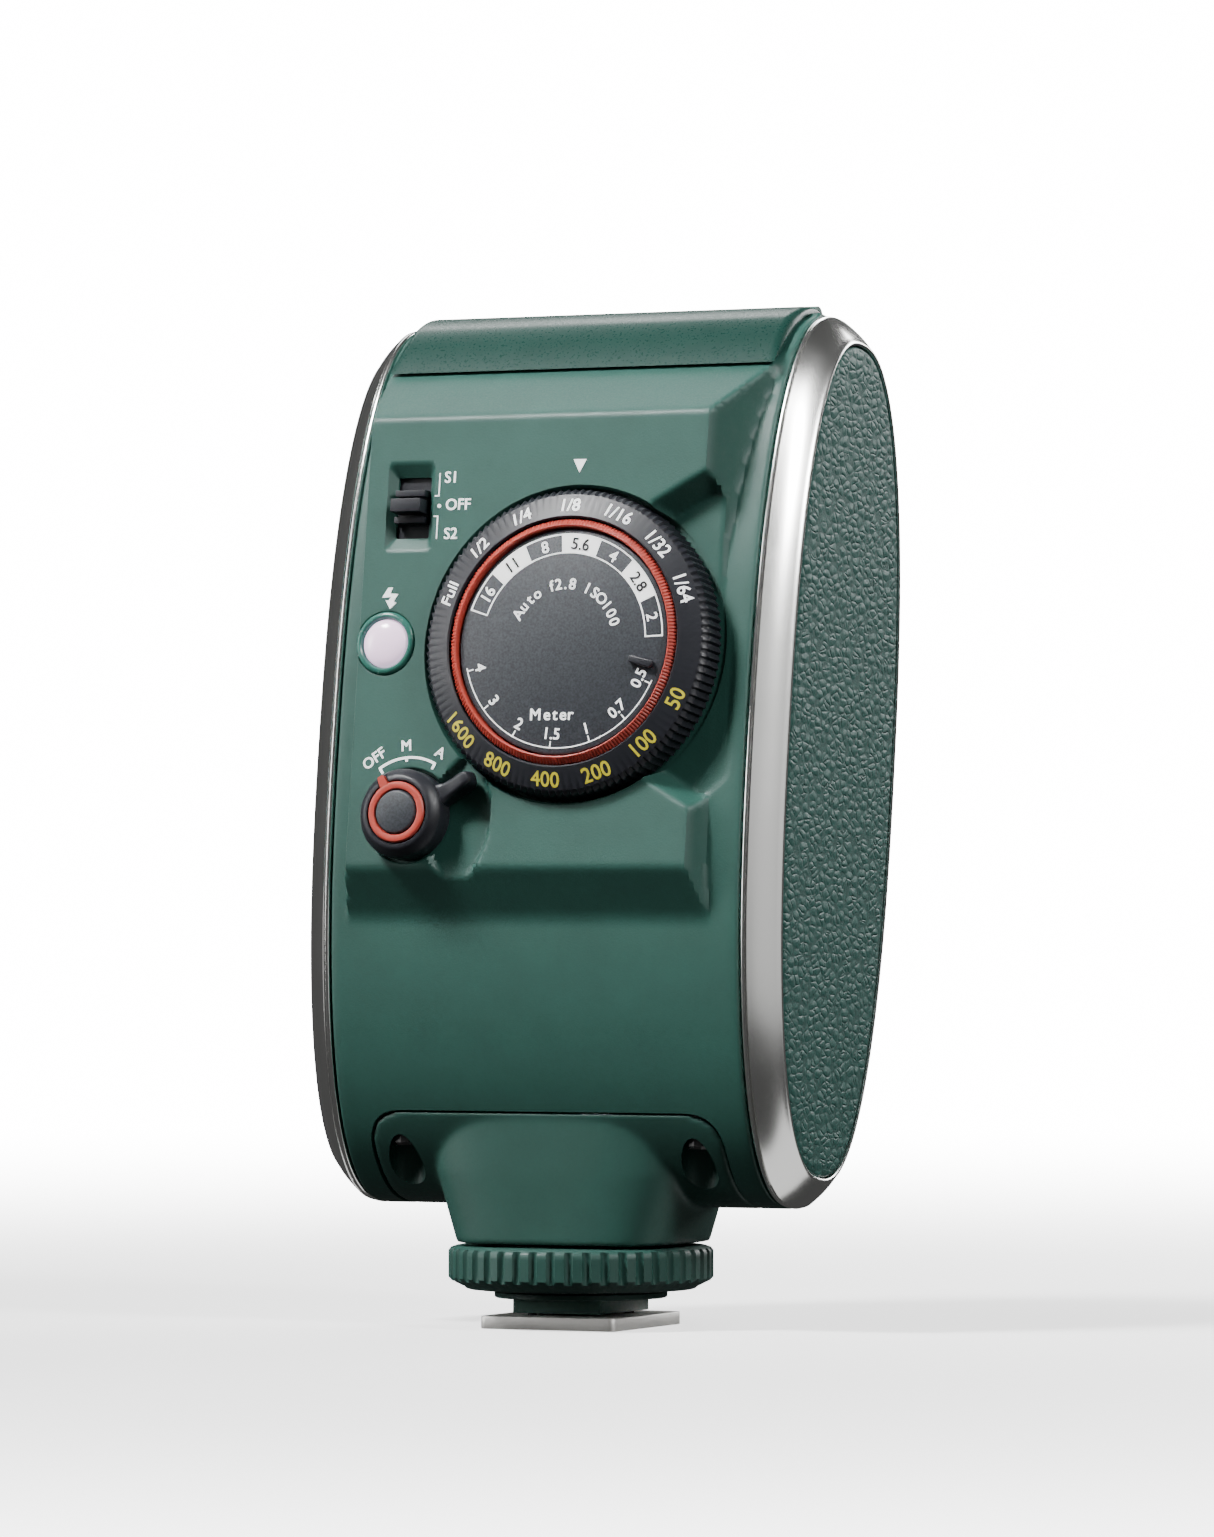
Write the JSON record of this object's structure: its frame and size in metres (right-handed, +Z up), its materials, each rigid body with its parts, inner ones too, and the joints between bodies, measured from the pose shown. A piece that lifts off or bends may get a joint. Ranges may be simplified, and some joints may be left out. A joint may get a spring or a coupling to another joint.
{
  "type": "shoe-mount camera flash",
  "caption": "Leaning camera flash with a dial, mode lever, slide switch and test button at the rear, a fan reflector under its flip-up front door, and a shoe foot with a lock ring.",
  "frame": {"origin": "centre of the shoe foot's underside", "axes": "+Z up out of the camera's shoe; -Y is the side with the controls; +Y is the side that the light leaves by; +X is right seen from the controls"},
  "size_m": [0.065, 0.0508, 0.129],
  "materials": {
    "green_plastic": "moulded plastic, fine matt texture",
    "black_plastic": "moulded, satin",
    "grey_plastic": "fine grain",
    "red_plastic": "satin",
    "satin_chrome": "satin plated trim",
    "steel": "satin",
    "leaf_aluminium": "polished",
    "green_leather": "pebbled leatherette",
    "clear_cover": "clear",
    "button_lens": "translucent, lit",
    "circuit_board": "solder mask",
    "copper_coil": "varnished",
    "battery_wrap": "shrink wrap"
  },
  "bodies": {
    "housing": {"rear_casing": "green_plastic", "front_chassis": "green_plastic", "top_cap": "green_plastic", "pedestal": "green_plastic", "bezel_left": "satin_chrome", "bezel_right": "satin_chrome", "leather_left": "green_leather", "leather_right": "green_leather", "control_board": "circuit_board", "power_board": "circuit_board", "battery_pack": "battery_wrap", "flash_capacitor": "black_plastic", "inverter_transformer": "copper_coil", "trigger_coil": "copper_coil", "dial_encoder": "black_plastic", "mode_switch": "black_plastic", "slide_switch": "steel", "test_switch": "black_plastic", "sensor_window": "clear_cover", "usb_port": "steel", "sync_socket": "steel", "chassis_screw_1": "steel", "chassis_screw_2": "steel", "pedestal_screw_1": "steel", "pedestal_screw_2": "steel", "hinge_pin": "steel", "foot_stem": "green_plastic", "shoe_plate": "steel", "foot_insulator": "black_plastic", "contact_pin": "steel", "foot_screw_1": "steel", "foot_screw_2": "steel"},
    "dial": {"power_dial": "black_plastic"},
    "calculator": {"calculator_disc": "grey_plastic", "calculator_ring": "red_plastic"},
    "mode_lever": {"mode_lever": "black_plastic", "mode_index_ring": "red_plastic", "mode_cap": "grey_plastic"},
    "slide_knob": {"slide_knob": "black_plastic"},
    "test_button": {"test_button": "button_lens"},
    "clamp_washer": {"clamp_washer": "green_plastic"},
    "lock_ring": {"lock_ring": "green_plastic"},
    "head": {"head_cover": "green_plastic", "fan_hub": "black_plastic", "lamp_base": "leaf_aluminium", "flash_tube": "clear_cover", "lamp_dome": "clear_cover"},
    "leaf_01": {"fan_leaf_01": "leaf_aluminium"},
    "leaf_02": {"fan_leaf_02": "leaf_aluminium"},
    "leaf_03": {"fan_leaf_03": "leaf_aluminium"},
    "leaf_04": {"fan_leaf_04": "leaf_aluminium"},
    "leaf_05": {"fan_leaf_05": "leaf_aluminium"},
    "leaf_06": {"fan_leaf_06": "leaf_aluminium"},
    "leaf_07": {"fan_leaf_07": "leaf_aluminium"},
    "leaf_08": {"fan_leaf_08": "leaf_aluminium"},
    "leaf_09": {"fan_leaf_09": "leaf_aluminium"},
    "leaf_10": {"fan_leaf_10": "leaf_aluminium"},
    "leaf_11": {"fan_leaf_11": "leaf_aluminium"},
    "leaf_12": {"fan_leaf_12": "leaf_aluminium"}
  },
  "joints": [
    {"name": "power_dial_turn", "type": "hinge", "parent": "housing", "child": "dial", "pos_m": [0.0049, -0.01365, 0.08539], "axis": [0, 0.991, -0.134], "continuous": true},
    {"name": "calculator_turn", "type": "hinge", "parent": "housing", "child": "calculator", "pos_m": [0.0049, -0.01365, 0.08539], "axis": [0, 0.991, -0.134], "continuous": true},
    {"name": "mode_lever_turn", "type": "hinge", "parent": "housing", "child": "mode_lever", "pos_m": [-0.0162, -0.01652, 0.06419], "axis": [0, 0.991, -0.134], "range_deg": [0, 67]},
    {"name": "slave_switch_slide", "type": "slide", "parent": "housing", "child": "slide_knob", "axis": [0, 0.134, 0.991], "range_m": [-0.0016, 0.0016]},
    {"name": "test_button_press", "type": "slide", "parent": "housing", "child": "test_button", "axis": [0, 0.991, -0.134], "range_m": [0, 0.0008], "stiffness_N_per_m": 600},
    {"name": "clamp_washer_slide", "type": "slide", "parent": "housing", "child": "clamp_washer", "axis": [0, 0, -1], "range_m": [0, 0.00151]},
    {"name": "lock_ring_turn", "type": "hinge", "parent": "clamp_washer", "child": "lock_ring", "pos_m": [0, 0, 0.0075], "axis": [0, 0, -1], "range_deg": [0, 540]},
    {"name": "head_flip", "type": "hinge", "parent": "housing", "child": "head", "pos_m": [0, 0.01696, 0.12747], "axis": [1, 0, 0], "range_deg": [0, 187.7]},
    {"name": "leaf_01_fan", "type": "hinge", "parent": "head", "child": "leaf_01", "pos_m": [0, 0.02638, 0.07322], "axis": [0, -0.991, 0.134], "range_deg": [-15.5, 0]},
    {"name": "leaf_02_fan", "type": "hinge", "parent": "head", "child": "leaf_02", "pos_m": [0, 0.02638, 0.07322], "axis": [0, -0.991, 0.134], "range_deg": [0, 15.5]},
    {"name": "leaf_03_fan", "type": "hinge", "parent": "head", "child": "leaf_03", "pos_m": [0, 0.02638, 0.07322], "axis": [0, -0.991, 0.134], "range_deg": [-45.5, 0]},
    {"name": "leaf_04_fan", "type": "hinge", "parent": "head", "child": "leaf_04", "pos_m": [0, 0.02638, 0.07322], "axis": [0, -0.991, 0.134], "range_deg": [0, 45.5]},
    {"name": "leaf_05_fan", "type": "hinge", "parent": "head", "child": "leaf_05", "pos_m": [0, 0.02638, 0.07322], "axis": [0, -0.991, 0.134], "range_deg": [-75.5, 0]},
    {"name": "leaf_06_fan", "type": "hinge", "parent": "head", "child": "leaf_06", "pos_m": [0, 0.02638, 0.07322], "axis": [0, -0.991, 0.134], "range_deg": [0, 75.5]},
    {"name": "leaf_07_fan", "type": "hinge", "parent": "head", "child": "leaf_07", "pos_m": [0, 0.02638, 0.07322], "axis": [0, -0.991, 0.134], "range_deg": [-105.5, 0]},
    {"name": "leaf_08_fan", "type": "hinge", "parent": "head", "child": "leaf_08", "pos_m": [0, 0.02638, 0.07322], "axis": [0, -0.991, 0.134], "range_deg": [0, 105.5]},
    {"name": "leaf_09_fan", "type": "hinge", "parent": "head", "child": "leaf_09", "pos_m": [0, 0.02638, 0.07322], "axis": [0, -0.991, 0.134], "range_deg": [-135.5, 0]},
    {"name": "leaf_10_fan", "type": "hinge", "parent": "head", "child": "leaf_10", "pos_m": [0, 0.02638, 0.07322], "axis": [0, -0.991, 0.134], "range_deg": [0, 135.5]},
    {"name": "leaf_11_fan", "type": "hinge", "parent": "head", "child": "leaf_11", "pos_m": [0, 0.02638, 0.07322], "axis": [0, -0.991, 0.134], "range_deg": [-165.5, 0]},
    {"name": "leaf_12_fan", "type": "hinge", "parent": "head", "child": "leaf_12", "pos_m": [0, 0.02638, 0.07322], "axis": [0, -0.991, 0.134], "range_deg": [0, 165.5]}
  ],
  "couplings": [
    {"joint": "clamp_washer_slide", "follows": "lock_ring_turn", "m_per_rad": 0.00015915},
    {"joint": "leaf_01_fan", "follows": "head_flip", "ratio": -0.079915},
    {"joint": "leaf_02_fan", "follows": "head_flip", "ratio": 0.079915},
    {"joint": "leaf_03_fan", "follows": "head_flip", "ratio": -0.23974},
    {"joint": "leaf_04_fan", "follows": "head_flip", "ratio": 0.23974},
    {"joint": "leaf_05_fan", "follows": "head_flip", "ratio": -0.39957},
    {"joint": "leaf_06_fan", "follows": "head_flip", "ratio": 0.39957},
    {"joint": "leaf_07_fan", "follows": "head_flip", "ratio": -0.5594},
    {"joint": "leaf_08_fan", "follows": "head_flip", "ratio": 0.5594},
    {"joint": "leaf_09_fan", "follows": "head_flip", "ratio": -0.71923},
    {"joint": "leaf_10_fan", "follows": "head_flip", "ratio": 0.71923},
    {"joint": "leaf_11_fan", "follows": "head_flip", "ratio": -0.87906},
    {"joint": "leaf_12_fan", "follows": "head_flip", "ratio": 0.87906}
  ]
}
